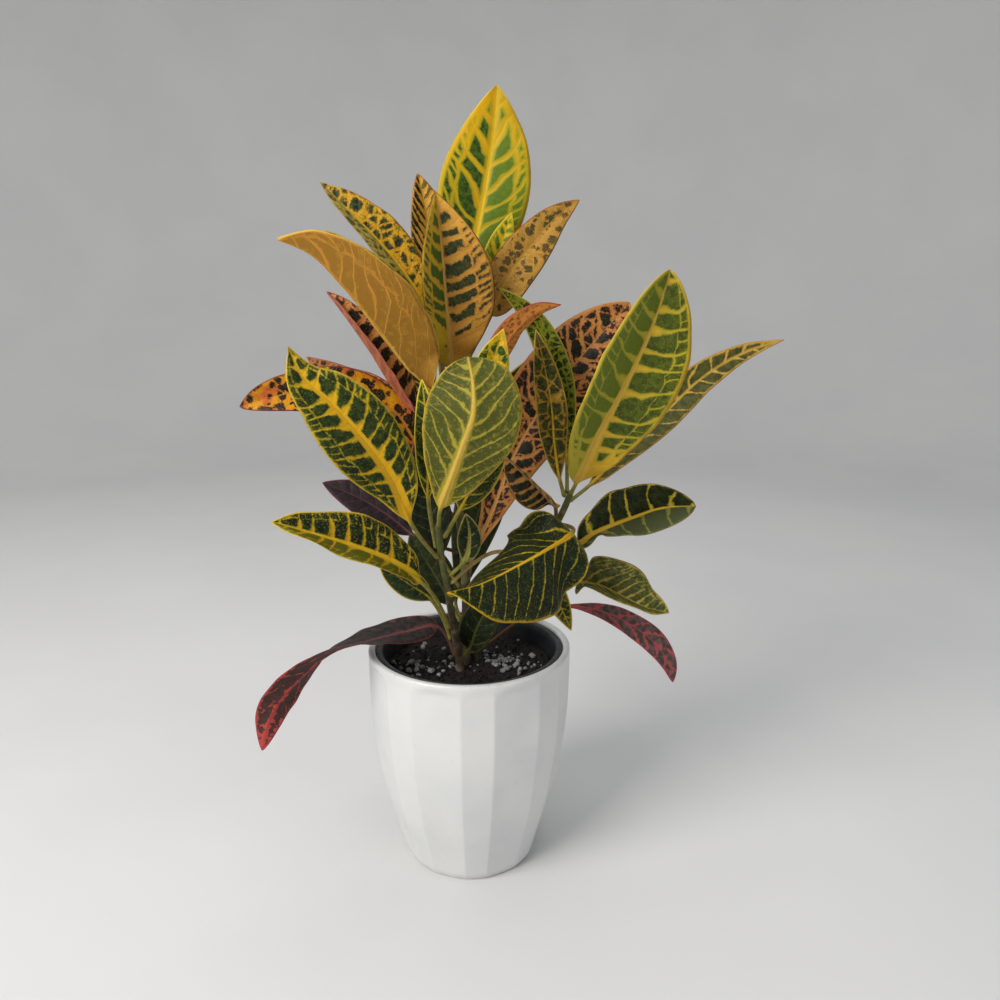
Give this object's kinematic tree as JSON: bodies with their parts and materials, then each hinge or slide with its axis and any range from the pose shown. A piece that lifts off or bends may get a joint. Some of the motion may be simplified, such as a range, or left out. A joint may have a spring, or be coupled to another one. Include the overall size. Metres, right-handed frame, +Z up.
{
  "type": "potted croton",
  "caption": "Croton plant with broad variegated leaves on upright stems, rooted in a black nursery pot that stands in a white faceted cover pot.",
  "frame": {"origin": "centre of the cover pot's base, on the surface that it stands on", "axes": "+Z up, -Y towards the front that the picture shows, +X to the right in the picture"},
  "size_m": [0.3362, 0.1565, 0.4881],
  "materials": {
    "white_pot": "white, satin to glossy",
    "black_pot": "black, matt",
    "soil": "dark crumbly potting soil with white perlite",
    "stem": "olive green bark, brownish near the soil",
    "leaf_young": "yellow-green, glossy leaf",
    "leaf_gold": "yellow and tan with dark green patches, glossy leaf",
    "leaf_amber": "amber, glossy leaf",
    "leaf_orange": "orange with black patches, glossy leaf",
    "leaf_green": "dark green with yellow veins, glossy leaf",
    "leaf_maroon": "nearly black with red veins, glossy leaf"
  },
  "bodies": {
    "root": {"leaf_back_high": "leaf_gold", "leaf_back_left": "leaf_green", "leaf_back_low": "leaf_orange", "leaf_back_right": "leaf_green", "leaf_crown_amber": "leaf_amber", "leaf_crown_folded": "leaf_gold", "leaf_crown_gold": "leaf_gold", "leaf_crown_inner": "leaf_young", "leaf_crown_narrow": "leaf_orange", "leaf_crown_pink": "leaf_amber", "leaf_crown_red": "leaf_orange", "leaf_crown_small": "leaf_young", "leaf_crown_spotted": "leaf_gold", "leaf_crown_tall": "leaf_young", "leaf_front_curled": "leaf_green", "leaf_front_narrow": "leaf_young", "leaf_front_round": "leaf_young", "leaf_front_small": "leaf_green", "leaf_front_under": "leaf_green", "leaf_inner_left": "leaf_green", "leaf_inner_low": "leaf_green", "leaf_inner_tall": "leaf_green", "leaf_left_bold": "leaf_green", "leaf_left_drooping": "leaf_maroon", "leaf_left_inner": "leaf_green", "leaf_left_long": "leaf_green", "leaf_left_low": "leaf_green", "leaf_left_orange": "leaf_orange", "leaf_left_purple": "leaf_maroon", "leaf_left_tan": "leaf_orange", "leaf_right_big": "leaf_green", "leaf_right_drooping": "leaf_maroon", "leaf_right_green": "leaf_green", "leaf_right_lance": "leaf_green", "leaf_right_long": "leaf_green", "leaf_right_low": "leaf_green", "leaf_right_olive": "leaf_green", "leaf_right_orange": "leaf_orange", "leaf_right_tall": "leaf_young", "leaf_right_tan": "leaf_orange", "nursery_pot": "black_pot", "pot": "white_pot", "soil": "soil", "stem_front": "stem", "stem_middle": "stem", "stem_right": "stem"}
  },
  "joints": []
}
